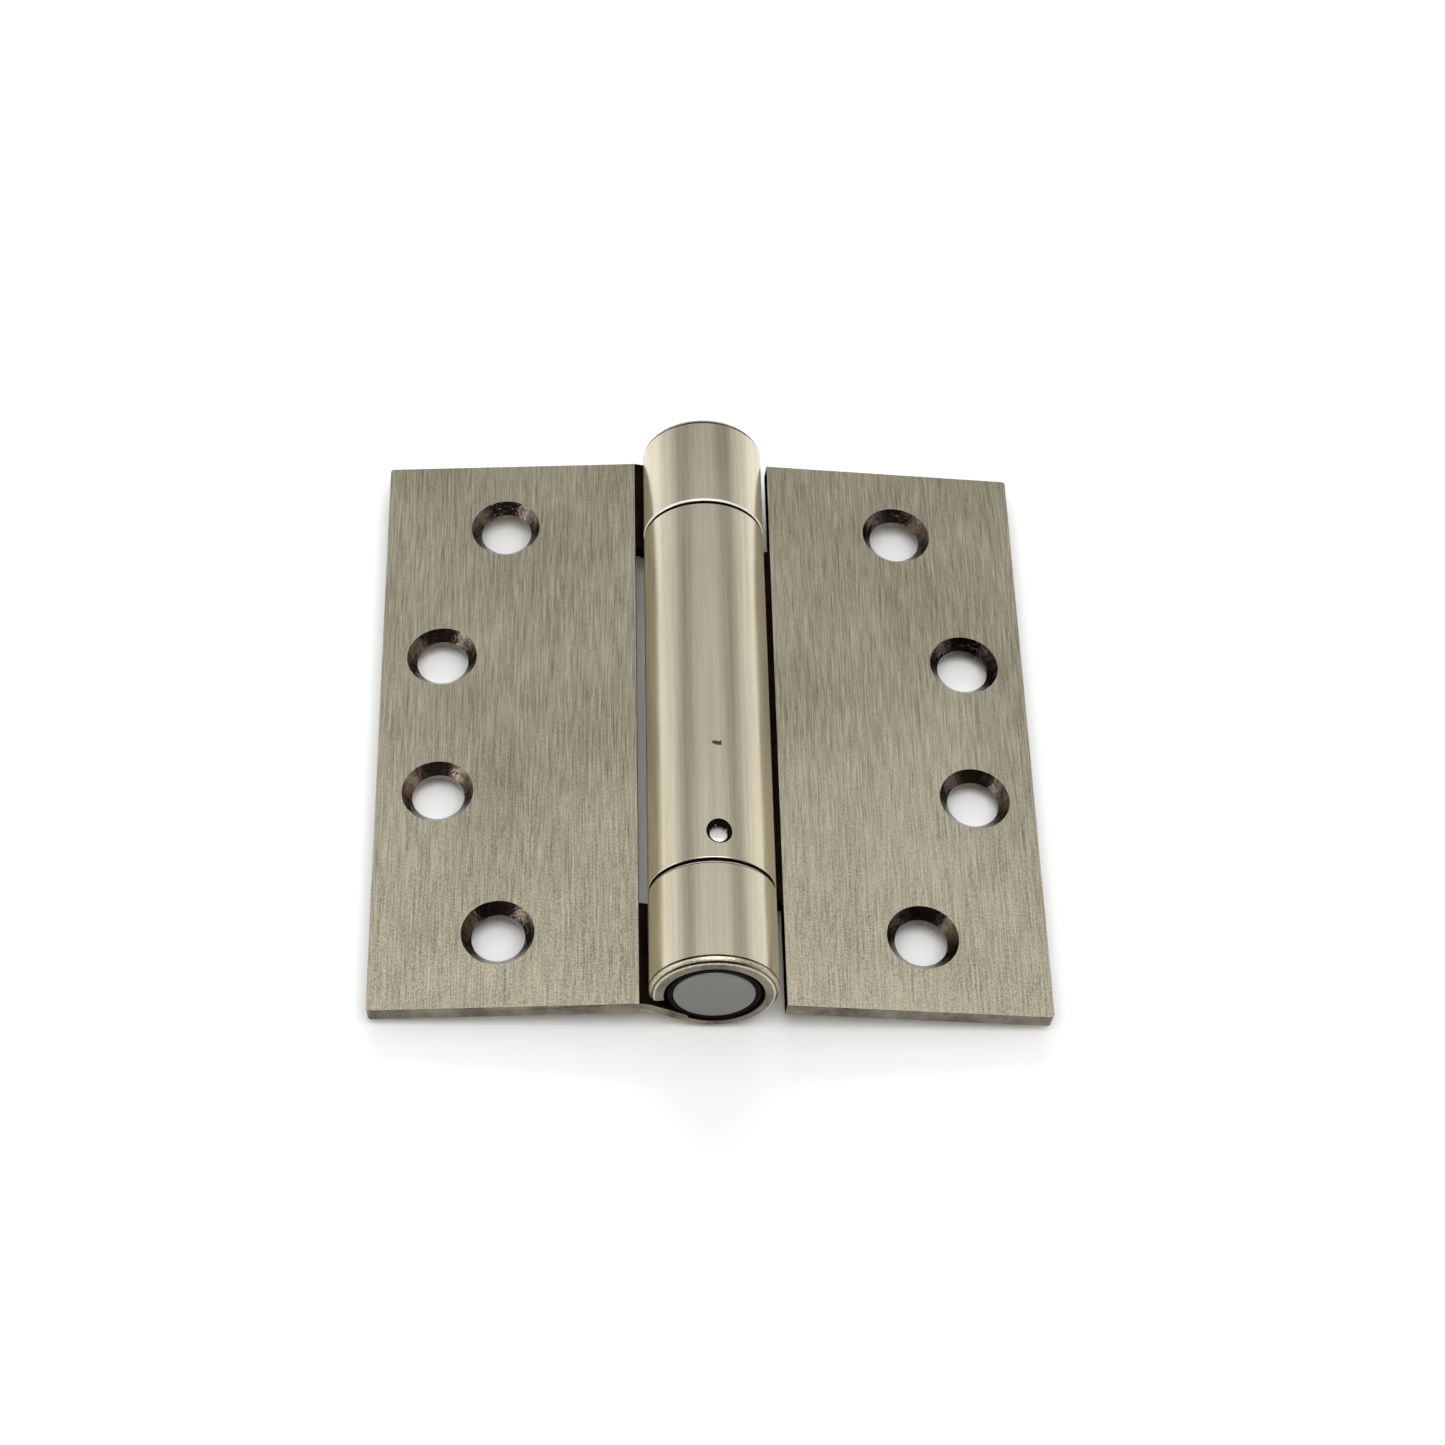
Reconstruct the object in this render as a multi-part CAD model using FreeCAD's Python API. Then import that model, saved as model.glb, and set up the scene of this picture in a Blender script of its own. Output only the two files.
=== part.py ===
"""Three-knuckle spring butt hinge for a door, lying open on its barrel: one STEP file per separate piece.

Millimetres. +Y runs along the hinge axis, +Z is up and the barrel rests on z = 0 below its middle.
The frame leaf is on the -X side and the door leaf on the +X side. Every piece is drawn in its own
leaf's frame (u away from the axis along the leaf, v along the hinge axis, w out of the leaf's front
face, with the axis as origin) and is then placed with that leaf's tilt.
"""

import FreeCAD
import Part
import math
import os

V = FreeCAD.Vector

# Whole hinge
HINGE_LENGTH = 114.3  # 4 1/2 in along the axis
OPEN_WIDTH = 114.3  # 4 1/2 in from outer edge to outer edge with the leaves flat
LEAF_THICKNESS = 3.0
BARREL_DIAMETER = 21.5
FACE_SETBACK = 2.0  # leaf front face below the axis: half the gap between the closed leaves
REST_TILT = 4.0  # degrees each leaf hangs below level, so the hinge lies open 188 degrees

# Knuckles
CENTRE_KNUCKLE = 74.5
JOINT_GAP = 0.5  # between neighbouring knuckles
BAND_SLOPE = 32.0  # degrees: the strip that leads from the leaf down under the barrel
BEND_INNER_RADIUS = 2.5
CURL_END = 8.0  # degrees below level where the rolled strip stops, above its own band
END_ROUND = 1.4  # outer edge of the barrel's two ends
JOINT_ROUND = 0.55  # outer edge of the two outer knuckles at a joint
CENTRE_ROUND = 0.2  # outer edge of the centre knuckle
BORE_CHAMFER = 0.6
NOTCH_CLEARANCE = 1.6  # leaf edge beside the other leaf's knuckle

# Leaf plate
CORNER_RADIUS = 0.6
EDGE_CHAMFER = 0.2
HOLE_DIAMETER = 9.0  # through hole at the back face
COUNTERSINK_DIAMETER = 12.3
COUNTERSINK_ANGLE = 82.0
END_TO_HOLE = 14.29  # 9/16 in from the leaf's end to the first hole; the four are equally spaced
END_HOLE_FROM_EDGE = 21.35  # the two end holes, in from the leaf's outer edge
MIDDLE_HOLE_FROM_EDGE = 10.55

# Marks on the centre knuckle's top
PIN_HOLE_FROM_JOINT = 5.25
PIN_HOLE_MOUTH = 4.8
NICK_FROM_HOLE = 17.6
NICK_LENGTH = 1.8  # across the axis
NICK_WIDTH = 1.1
NICK_DEPTH = 0.35

# Pieces in the barrel
RUNNING_CLEARANCE = 0.05  # radial
PRESS = 0.02  # radial interference of what is driven into a bore
END_PLAY = 0.1  # along the axis between a bushing's flange and the knuckle that turns on it
SLEEVE_WALL = 0.9
FLANGE_RECESS = 0.35  # flange's rim below the barrel surface
BUSHING_RECESS = 0.25
FAR_SLEEVE_LENGTH = 7.0
ANCHOR_RECESS = 0.5
ANCHOR_JOURNAL = 10.4
ANCHOR_PIN_DIAMETER = 3.0
ANCHOR_PIN_LENGTH = 8.0
ANCHOR_PIN_RECESS = 0.15
TENSION_BODY_LENGTH = 13.1
PLUG_CHAMFER = 0.4
GROOVE_DEPTH = 1.9
GROOVE_WIDTH = 3.6
LOCK_HOLES = 6
LOCK_HOLE_DEPTH = 2.0
TENSION_PIN_DIAMETER = 3.2
TENSION_PIN_CHAMFER = 0.25
TENSION_PIN_SINK = 0.85  # pin's outer end below the barrel surface
TENSION_PIN_LIFT = 0.1  # pin's tip above the bottom of the groove
SOCKET_FLATS = 5.0
SOCKET_DEPTH = 9.0
CAP_THICKNESS = 1.5
CAP_ROUND = 0.3
CAP_STEM_DIAMETER = 4.6
CAP_STEM_LENGTH = 5.0
CAP_SEAT = 0.05  # between the cap and the plug's end

# Torsion spring
WIRE_DIAMETER = 2.4
COIL_GAP = 0.6  # about this much air between coils
TANG_LENGTH = 5.0
TANG_WALL = 0.2  # metal left outside a tang's hole in the journal
TANG_CLEARANCE = 0.1
COIL_END_GAP = 0.15

BARREL_R = BARREL_DIAMETER / 2
BORE_R = BARREL_R - LEAF_THICKNESS
SLEEVE_R = BORE_R - SLEEVE_WALL
JOURNAL_R = SLEEVE_R - RUNNING_CLEARANCE
PLUG_R = BORE_R - RUNNING_CLEARANCE
GROOVE_R = PLUG_R - GROOVE_DEPTH
WIRE_R = WIRE_DIAMETER / 2
COIL_R = JOURNAL_R - TANG_WALL - TANG_CLEARANCE - WIRE_R
OPENING = 180 + 2 * REST_TILT  # degrees between the two leaves' front faces as drawn
HALF_LENGTH = HINGE_LENGTH / 2
OUTER_U = OPEN_WIDTH / 2
HALF_CENTRE = CENTRE_KNUCKLE / 2
JOINT_V = HALF_CENTRE + JOINT_GAP  # inner end of the two outer knuckles
PIN_HOLE_V = PIN_HOLE_FROM_JOINT - HALF_CENTRE
ANCHOR_PIN_V = (JOINT_V + HALF_LENGTH) / 2
NOTCH_U = BARREL_R + NOTCH_CLEARANCE
FRONT_W = -FACE_SETBACK
BACK_W = FRONT_W - LEAF_THICKNESS
ANCHOR_END_V = JOINT_V - ANCHOR_JOURNAL
TENSION_END_V = TENSION_BODY_LENGTH - HALF_CENTRE
AXIS = V(0, 1, 0)


def polar(radius, degrees, v=0.0):
    """Point at a radius and an angle about the hinge axis, 0 along +u and 90 along +w."""
    a = math.radians(degrees)
    return V(radius * math.cos(a), v, radius * math.sin(a))


def arc(centre, radius, first, last):
    """Arc edge about a point, from one angle to another in degrees."""
    pts = [centre + polar(radius, a) for a in (first, (first + last) / 2, last)]
    return Part.Arc(*pts).toShape()


def revolved(points, sweep=360.0, start=0.0):
    """Solid of revolution about the axis from (radius, v) points."""
    wire = Part.makePolygon([V(r, v, 0) for r, v in points + points[:1]])
    solid = Part.Face(wire).revolve(V(0, 0, 0), AXIS, -sweep)
    solid.rotate(V(0, 0, 0), AXIS, -start)
    return solid


def bend_start():
    """Distance u from the axis at which the flat leaf starts to bend towards its knuckle."""
    slope = math.radians(BAND_SLOPE)
    mid_ring = BARREL_R - LEAF_THICKNESS / 2
    mid_bend = BEND_INNER_RADIUS + LEAF_THICKNESS / 2
    drop = mid_ring * math.cos(slope) - FACE_SETBACK - LEAF_THICKNESS / 2
    drop -= mid_bend * (1 - math.cos(slope))
    return (mid_ring + mid_bend) * math.sin(slope) + drop / math.tan(slope)


def rolled_profile():
    """Face of the leaf's section: flat plate, bend, sloping band and the open roll around the bore."""
    u0 = bend_start()
    bend = V(u0, 0, BACK_W - BEND_INNER_RADIUS)
    bend_outer = BEND_INNER_RADIUS + LEAF_THICKNESS
    tangent = BAND_SLOPE - 90
    curl = -CURL_END - 360
    up = 90 + BAND_SLOPE
    edges = [
        Part.makeLine(V(OUTER_U, 0, FRONT_W), V(u0, 0, FRONT_W)),
        arc(bend, bend_outer, 90, up),
        Part.makeLine(bend + polar(bend_outer, up), polar(BORE_R, tangent)),
        arc(V(), BORE_R, tangent, curl),
        Part.makeLine(polar(BORE_R, curl), polar(BARREL_R, curl)),
        arc(V(), BARREL_R, curl, tangent),
        Part.makeLine(polar(BARREL_R, tangent), bend + polar(BEND_INNER_RADIUS, up)),
        arc(bend, BEND_INNER_RADIUS, up, 90),
        Part.makeLine(V(u0, 0, BACK_W), V(OUTER_U, 0, BACK_W)),
        Part.makeLine(V(OUTER_U, 0, BACK_W), V(OUTER_U, 0, FRONT_W)),
    ]
    return Part.Face(Part.Wire(edges))


def slab(u_from, u_to, v_from, v_to):
    """Box across the whole height of the barrel."""
    high = 2 * BARREL_R + 2
    return Part.makeBox(u_to - u_from, v_to - v_from, high, V(u_from, v_from, -high / 2))


def countersunk_hole(u, v):
    """Tool for one screw hole: a straight hole with a cone opening to the front face."""
    half = math.radians(COUNTERSINK_ANGLE / 2)
    hole_r, top_r = HOLE_DIAMETER / 2, COUNTERSINK_DIAMETER / 2
    depth = (top_r - hole_r) / math.tan(half)
    over = 1.0
    through = Part.makeCylinder(hole_r, LEAF_THICKNESS + 2 * over, V(u, v, BACK_W - over))
    cone_top = top_r + over * math.tan(half)
    cone = Part.makeCone(hole_r, cone_top, depth + over, V(u, v, FRONT_W - depth))
    return through.fuse(cone)


def edge_tool(corner, out_a, out_b, along):
    """Prism that takes the small chamfer off a straight edge starting at the corner point."""
    a, b = out_a * EDGE_CHAMFER, out_b * EDGE_CHAMFER
    pts = [corner - a * 2 + b, corner + a - b * 2, corner + a + b]
    return Part.Face(Part.makePolygon(pts + pts[:1])).extrude(along)


def plate_edge_tools(inner_u, notches):
    """Chamfer tools for the leaf's outline, front and back; inner_u is where the end edges stop."""
    tools = []
    side = V(1, 0, 0)
    for w, out in ((FRONT_W, V(0, 0, 1)), (BACK_W, V(0, 0, -1))):
        tools.append(edge_tool(V(OUTER_U, -HALF_LENGTH, w), side, out, AXIS * HINGE_LENGTH))
        for end in (-1, 1):
            start = V(OUTER_U + 1, end * HALF_LENGTH, w)
            tools.append(edge_tool(start, AXIS * end, out, side * (inner_u - OUTER_U - 1)))
        for v_from, v_to in notches:
            tools.append(edge_tool(V(NOTCH_U, v_from, w), -side, out, AXIS * (v_to - v_from)))
    return tools


def outer_round_tool(v_end, towards, radius):
    """Ring-shaped tool that rounds a knuckle's outer edge, from the curl's end over the top to the band."""
    steps = 6
    out = BARREL_R + 1.0
    inner = [(BARREL_R - radius, v_end + towards), (BARREL_R - radius, v_end)]
    for i in range(1, steps):
        a = math.radians(90.0 * i / steps)
        r = BARREL_R - radius * (1 - math.sin(a))
        inner.append((r, v_end - towards * radius * (1 - math.cos(a))))
    inner += [(BARREL_R, v_end - towards * radius), (out, v_end - towards * radius)]
    sweep = 270 + BAND_SLOPE + CURL_END + 4
    return revolved(inner + [(out, v_end + towards)], sweep, -CURL_END - 4)


def bore_chamfer_tool(v_end, towards):
    """Cone that opens the bore at a knuckle's end face."""
    over = 0.5
    wide, narrow = BORE_R + BORE_CHAMFER + over, BORE_R
    pts = [(0, v_end - towards * BORE_CHAMFER), (narrow, v_end - towards * BORE_CHAMFER)]
    return revolved(pts + [(wide, v_end + towards * over), (0, v_end + towards * over)])


def leaf_blank():
    """Full-length rolled leaf with its screw holes and rounded outer corners."""
    blank = rolled_profile().extrude(AXIS * HINGE_LENGTH)
    blank.translate(AXIS * -HALF_LENGTH)
    corners = [
        e
        for e in blank.Edges
        if e.BoundBox.XMin > OUTER_U - 0.01 and e.BoundBox.ZLength > LEAF_THICKNESS / 2
    ]
    blank = blank.makeFillet(CORNER_RADIUS, corners)
    end_v = HALF_LENGTH - END_TO_HOLE
    spots = [(OUTER_U - END_HOLE_FROM_EDGE, end_v), (OUTER_U - MIDDLE_HOLE_FROM_EDGE, end_v / 3)]
    return blank.cut([countersunk_hole(u, s * v) for u, v in spots for s in (-1, 1)])


def frame_leaf():
    """Leaf with the two outer knuckles, its centre notch and the hole for the anchor pin."""
    ends = [(HALF_LENGTH, 1, END_ROUND), (JOINT_V, -1, JOINT_ROUND)]
    tools = plate_edge_tools(bend_start(), [(-JOINT_V, JOINT_V)])
    for s in (-1, 1):
        for v_end, towards, radius in ends:
            tools.append(outer_round_tool(s * v_end, s * towards, radius))
            tools.append(bore_chamfer_tool(s * v_end, s * towards))
    pin_bore = Part.makeCylinder(ANCHOR_PIN_DIAMETER / 2, BARREL_R, V(0, ANCHOR_PIN_V, 0), V(0, 0, -1))
    notch = slab(-BARREL_R - 1, NOTCH_U, -JOINT_V, JOINT_V)
    return leaf_blank().cut(notch).cut(tools).cut(pin_bore)


def door_leaf():
    """Leaf with the centre knuckle, which carries the tension pin's hole and the small nick."""
    beside = [(-HALF_LENGTH, -HALF_CENTRE), (HALF_CENTRE, HALF_LENGTH)]
    tools = plate_edge_tools(NOTCH_U - 1, beside)
    for s in (-1, 1):
        tools.append(outer_round_tool(s * HALF_CENTRE, s, CENTRE_ROUND))
        tools.append(bore_chamfer_tool(s * HALF_CENTRE, s))
    hole_r = TENSION_PIN_DIAMETER / 2 + RUNNING_CLEARANCE
    mouth = PIN_HOLE_MOUTH / 2 - hole_r
    tools.append(Part.makeCylinder(hole_r, BARREL_R + 1, V(0, PIN_HOLE_V, 0)))
    tools.append(Part.makeCone(hole_r, hole_r + 2 * mouth, 2 * mouth, V(0, PIN_HOLE_V, BARREL_R - mouth)))
    nick = Part.makeBox(NICK_LENGTH, NICK_WIDTH, 1.0)
    nick_v = PIN_HOLE_V + NICK_FROM_HOLE - NICK_WIDTH / 2
    nick.translate(V(-NICK_LENGTH / 2, nick_v, BARREL_R - NICK_DEPTH))
    tools.append(nick)
    leaf = leaf_blank()
    for v_from, v_to in beside:
        leaf = leaf.cut(slab(-BARREL_R - 1, NOTCH_U, v_from, v_to))
    return leaf.cut(tools)


def flanged_bushing(sleeve_end, flange_v, flange_top):
    """Black sleeve driven into a knuckle, with the flange that fills the joint beside it."""
    r, flange_r = BORE_R + PRESS, BARREL_R - FLANGE_RECESS
    pts = [(SLEEVE_R, sleeve_end), (r, sleeve_end), (r, flange_v), (flange_r, flange_v)]
    return revolved(pts + [(flange_r, flange_top), (SLEEVE_R, flange_top)])


def near_bushing():
    """Bushing in the near outer knuckle; its end shows as the black ring around the cap."""
    return flanged_bushing(BUSHING_RECESS - HALF_LENGTH, -JOINT_V, -HALF_CENTRE - END_PLAY)


def far_bushing():
    """Bushing in the centre knuckle's far end; the anchor plug's journal turns in it."""
    return flanged_bushing(HALF_CENTRE - FAR_SLEEVE_LENGTH, HALF_CENTRE, JOINT_V - END_PLAY)


def tang_hole(v_face, into):
    """Tool for the hole in a plug's inner face that takes the spring's tang."""
    length = TANG_LENGTH + WIRE_R + 1
    return Part.makeCylinder(WIRE_R + TANG_CLEARANCE, length, V(COIL_R, v_face - into, 0), AXIS * into)


def anchor_plug():
    """Plug fixed in the far knuckle: it holds the spring's far end and is the far joint's journal."""
    r, c, end = BORE_R + PRESS, PLUG_CHAMFER, HALF_LENGTH - ANCHOR_RECESS
    shoulder = JOINT_V + BORE_CHAMFER
    pts = [(0, ANCHOR_END_V), (JOURNAL_R - c, ANCHOR_END_V), (JOURNAL_R, ANCHOR_END_V + c)]
    pts += [(JOURNAL_R, shoulder), (r, shoulder), (r, end - c), (r - c, end), (0, end)]
    cross = Part.makeCylinder(ANCHOR_PIN_DIAMETER / 2, BARREL_R, anchor_pin_top(), V(0, 0, -1))
    return revolved(pts).cut([tang_hole(ANCHOR_END_V, 1), cross])


def anchor_pin_top():
    """Inner end of the anchor pin, inside the plug."""
    return V(0, ANCHOR_PIN_V, ANCHOR_PIN_LENGTH + ANCHOR_PIN_RECESS - BARREL_R)


def anchor_pin():
    """Cross pin driven from below through the far knuckle into the anchor plug."""
    r = ANCHOR_PIN_DIAMETER / 2 + PRESS / 2
    return Part.makeCylinder(r, ANCHOR_PIN_LENGTH, anchor_pin_top(), V(0, 0, -1))


def tension_plug():
    """Adjusting plug: journal in the near bushing, body in the centre knuckle with a ring of lock holes."""
    c, half = PLUG_CHAMFER, GROOVE_WIDTH / 2
    end = CAP_THICKNESS + CAP_SEAT - HALF_LENGTH
    body = [
        (0, end),
        (JOURNAL_R - c, end),
        (JOURNAL_R, end + c),
        (JOURNAL_R, -HALF_CENTRE),
        (PLUG_R, -HALF_CENTRE),
        (PLUG_R, PIN_HOLE_V - half),
        (GROOVE_R, PIN_HOLE_V - half),
        (GROOVE_R, PIN_HOLE_V + half),
        (PLUG_R, PIN_HOLE_V + half),
        (PLUG_R, TENSION_END_V - c),
        (PLUG_R - c, TENSION_END_V),
        (0, TENSION_END_V),
    ]
    lock_r = TENSION_PIN_DIAMETER / 2 + RUNNING_CLEARANCE
    tools = [tang_hole(TENSION_END_V, -1), hexagon(SOCKET_FLATS, SOCKET_DEPTH, end)]
    for i in range(LOCK_HOLES):
        angle = 90 + 360.0 * i / LOCK_HOLES
        foot = polar(GROOVE_R - LOCK_HOLE_DEPTH, angle, PIN_HOLE_V)
        tools.append(Part.makeCylinder(lock_r, LOCK_HOLE_DEPTH + 1, foot, polar(1, angle)))
    return revolved(body).cut(tools)


def hexagon(flats, depth, v_from):
    """Hexagonal prism along the axis."""
    corner_r = flats / 2 / math.cos(math.radians(30))
    pts = [polar(corner_r, 60.0 * i, v_from) for i in range(7)]
    return Part.Face(Part.makePolygon(pts)).extrude(AXIS * depth)


def tension_pin():
    """Small pin that waits in the centre knuckle's hole, with its tip in the plug's groove."""
    tip, top = GROOVE_R + TENSION_PIN_LIFT, BARREL_R - TENSION_PIN_SINK
    pin = Part.makeCylinder(TENSION_PIN_DIAMETER / 2, top - tip, V(0, PIN_HOLE_V, tip))
    ends = [e for e in pin.Edges if e.BoundBox.ZLength < 0.01]
    return pin.makeChamfer(TENSION_PIN_CHAMFER, ends)


def socket_cap():
    """Plain round cap that closes the barrel's near end and plugs the hexagon socket."""
    outer, inner = -HALF_LENGTH, CAP_THICKNESS - HALF_LENGTH
    c, stem = CAP_ROUND, CAP_STEM_DIAMETER / 2
    pts = [(0, outer), (JOURNAL_R - c, outer), (JOURNAL_R, outer + c), (JOURNAL_R, inner)]
    pts += [(stem, inner), (stem, inner + CAP_STEM_LENGTH), (0, inner + CAP_STEM_LENGTH)]
    return revolved(pts)


def torsion_spring():
    """Round-wire spring with a straight tang into each plug; opening the hinge winds it up."""
    low = TENSION_END_V + WIRE_R + COIL_END_GAP
    high = ANCHOR_END_V - WIRE_R - COIL_END_GAP
    extra = OPENING / 360
    turns = round((high - low) / (WIRE_DIAMETER + COIL_GAP) - extra) + extra
    pitch = (high - low) / turns
    path = Part.makeHelix(pitch, high - low, COIL_R, 0, True)
    along_wire = V(0, -2 * math.pi * COIL_R, pitch)
    section = Part.Wire(Part.makeCircle(WIRE_R, V(COIL_R, 0, 0), along_wire))
    coil = Part.Wire(path).makePipeShell([section], True, True)
    coil.rotate(V(0, 0, 0), V(1, 0, 0), -90)
    coil.translate(AXIS * low)
    parts = []
    for v, into, angle in ((low, -1, 0), (high, 1, OPENING)):
        bend = polar(COIL_R, angle, v)
        tang = WIRE_R + COIL_END_GAP + TANG_LENGTH
        parts.append(Part.makeSphere(WIRE_R, bend, AXIS))
        parts.append(Part.makeCylinder(WIRE_R, tang, bend, AXIS * into))
    return coil.fuse(parts)


def on_frame(shape):
    """Place a shape drawn in the frame leaf's frame: mirrored to -X, tilted and lifted."""
    shape = shape.mirror(V(0, 0, 0), V(1, 0, 0))
    shape.rotate(V(0, 0, 0), AXIS, -REST_TILT)
    shape.translate(V(0, 0, BARREL_R))
    return shape


def on_door(shape):
    """Place a shape drawn in the door leaf's frame: tilted and lifted."""
    shape.rotate(V(0, 0, 0), AXIS, REST_TILT)
    shape.translate(V(0, 0, BARREL_R))
    return shape


NODES = {
    "frame_leaf": (frame_leaf, on_frame),
    "door_leaf": (door_leaf, on_door),
    "anchor_plug": (anchor_plug, on_frame),
    "anchor_pin": (anchor_pin, on_frame),
    "torsion_spring": (torsion_spring, on_door),
    "tension_plug": (tension_plug, on_door),
    "tension_pin": (tension_pin, on_door),
    "socket_cap": (socket_cap, on_door),
    "near_bushing": (near_bushing, on_frame),
    "far_bushing": (far_bushing, on_door),
}


def main():
    """Write one STEP file for every piece."""
    os.makedirs("parts", exist_ok=True)
    for name, (make, place) in NODES.items():
        (solid,) = place(make()).Solids
        solid.exportStep("parts/%s.step" % name)


if __name__ == "__main__":
    main()
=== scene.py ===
"""Spring butt hinge lying open on a pale floor: leaves, barrel pieces, finishes, studio and camera.

Metres throughout. +Y runs along the hinge axis and +Z is up; the barrel rests on z = 0. Each piece is
drawn in its own leaf's frame, with the hinge axis as the origin, u (X) out along the leaf, v (Y) along
the axis and w (Z) out of the leaf's front face, and is then laid in its place by one matrix.
"""

import logging
import math
from collections.abc import Callable
from dataclasses import dataclass, field
from enum import Enum

import bmesh
import bpy
from mathutils import Matrix, Vector


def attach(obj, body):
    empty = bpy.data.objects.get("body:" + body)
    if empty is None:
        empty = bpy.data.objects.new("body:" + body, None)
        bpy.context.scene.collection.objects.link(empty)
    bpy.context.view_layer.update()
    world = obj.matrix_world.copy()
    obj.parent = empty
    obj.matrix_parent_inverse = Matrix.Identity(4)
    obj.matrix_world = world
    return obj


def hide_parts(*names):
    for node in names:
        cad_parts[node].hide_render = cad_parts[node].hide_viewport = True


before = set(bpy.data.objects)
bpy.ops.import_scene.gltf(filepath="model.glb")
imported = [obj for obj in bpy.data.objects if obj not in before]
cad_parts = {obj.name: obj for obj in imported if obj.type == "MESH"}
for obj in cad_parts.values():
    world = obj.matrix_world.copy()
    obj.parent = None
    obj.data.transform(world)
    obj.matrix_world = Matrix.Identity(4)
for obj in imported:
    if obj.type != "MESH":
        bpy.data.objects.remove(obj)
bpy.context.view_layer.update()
LOG = logging.getLogger("hinge")

MM = 0.001
Point = tuple[float, float, float]
Profile = list[tuple[float, float]]

HINGE_LENGTH = 114.3 * MM
OPEN_WIDTH = 114.3 * MM
THICKNESS = 3.0 * MM
BARREL_R = 10.75 * MM
BORE_R = BARREL_R - THICKNESS
FACE_SETBACK = 2.0 * MM
FRONT_W = -FACE_SETBACK
BACK_W = FRONT_W - THICKNESS
REST_TILT = math.radians(4.0)
CENTRE_KNUCKLE = 74.5 * MM
JOINT_GAP = 0.5 * MM
END_PLAY = 0.1 * MM
HALF_LENGTH = HINGE_LENGTH / 2
OUTER_U = OPEN_WIDTH / 2
HALF_CENTRE = CENTRE_KNUCKLE / 2
JOINT_V = HALF_CENTRE + JOINT_GAP
NOTCH_U = BARREL_R + 1.6 * MM
PIN_HOLE_V = 5.25 * MM - HALF_CENTRE
AXIS_Z = BARREL_R
AXIS = Vector((0.0, 1.0, 0.0))
SMOOTH_ANGLE = math.radians(32)  # shading stays smooth across edges flatter than this
SHARP_ANGLE = math.radians(38)  # edges sharper than this are rounded over
WELD_GAP = 0.004 * MM
PIN_HOLE_R = 1.65 * MM
ANCHOR_HOLE_R = 1.5 * MM


class Side(Enum):
    """The leaf a piece is drawn with: the value is the sign of X on which that leaf lies."""

    FRAME = -1
    DOOR = 1

    def placement(self) -> Matrix:
        """Matrix from the leaf's own frame to the hinge's frame."""
        mirror = Matrix.Diagonal((float(self.value), 1.0, 1.0, 1.0))
        tilt = Matrix.Rotation(REST_TILT * self.value, 4, "Y")
        return Matrix.Translation((0.0, 0.0, AXIS_Z)) @ tilt @ mirror


def polar(radius: float, degrees: float, v: float = 0.0) -> Vector:
    """Point about the hinge axis.

    Args:
        radius: Distance from the axis.
        degrees: Angle from +u (0) towards +w (90).
        v: Place along the axis.

    Returns:
        The point in the leaf's frame.
    """
    a = math.radians(degrees)
    return Vector((radius * math.cos(a), v, radius * math.sin(a)))


# ---------------------------------------------------------------- modelling


def deselect() -> None:
    """Clear the selection, because operators act on everything that is selected."""
    for obj in bpy.context.selected_objects:
        obj.select_set(False)


def only(obj: bpy.types.Object) -> None:
    """Select one object and make it active."""
    deselect()
    obj.select_set(True)
    bpy.context.view_layer.objects.active = obj


def active(name: str) -> bpy.types.Object:
    """The object that was just added, renamed."""
    obj = bpy.context.object
    obj.name = obj.data.name = name
    return obj


def mode(obj: bpy.types.Object, editing: bool) -> None:
    """Enter or leave edit mode on one object."""
    if editing:
        only(obj)
        bpy.ops.object.mode_set(mode="EDIT")
    else:
        bpy.ops.object.mode_set(mode="OBJECT")


def pick(obj: bpy.types.Object, kind: str, test: Callable[[Vector, Vector], bool]) -> int:
    """Select faces or edges in edit mode by their place.

    Args:
        obj: The mesh object being edited.
        kind: "FACE" or "EDGE".
        test: Given a face's centre and normal, or an edge's two ends, says whether to select it.

    Returns:
        The number of elements selected.
    """
    bpy.ops.mesh.select_mode(type=kind)
    bpy.ops.mesh.select_all(action="DESELECT")
    mesh = bmesh.from_edit_mesh(obj.data)
    chosen = []
    for item in mesh.faces if kind == "FACE" else mesh.edges:
        if kind == "FACE":
            hit = test(item.calc_center_median(), item.normal)
        else:
            hit = test(item.verts[0].co, item.verts[1].co)
        if hit:
            chosen.append(item)
    for item in chosen:
        item.select_set(True)
    bmesh.update_edit_mesh(obj.data)
    return len(chosen)


def apply_modifier(obj: bpy.types.Object, kind: str, **settings: object) -> None:
    """Add a modifier with its settings and apply it at once."""
    only(obj)
    mod = obj.modifiers.new(kind.title(), kind)
    for key, value in settings.items():
        setattr(mod, key, value)
    bpy.ops.object.modifier_apply(modifier=mod.name)


def round_edges(obj: bpy.types.Object, width: float) -> None:
    """Round over every sharp edge by a width."""
    apply_modifier(obj, "BEVEL", width=width, segments=2, limit_method="ANGLE", angle_limit=SHARP_ANGLE)


def combine(obj: bpy.types.Object, tools: list[bpy.types.Object], operation: str) -> None:
    """Unite tools with a piece or cut them from it, then delete the tools."""
    for tool in tools:
        apply_modifier(obj, "BOOLEAN", operation=operation, solver="EXACT", object=tool)
        bpy.data.objects.remove(tool, do_unlink=True)


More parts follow.
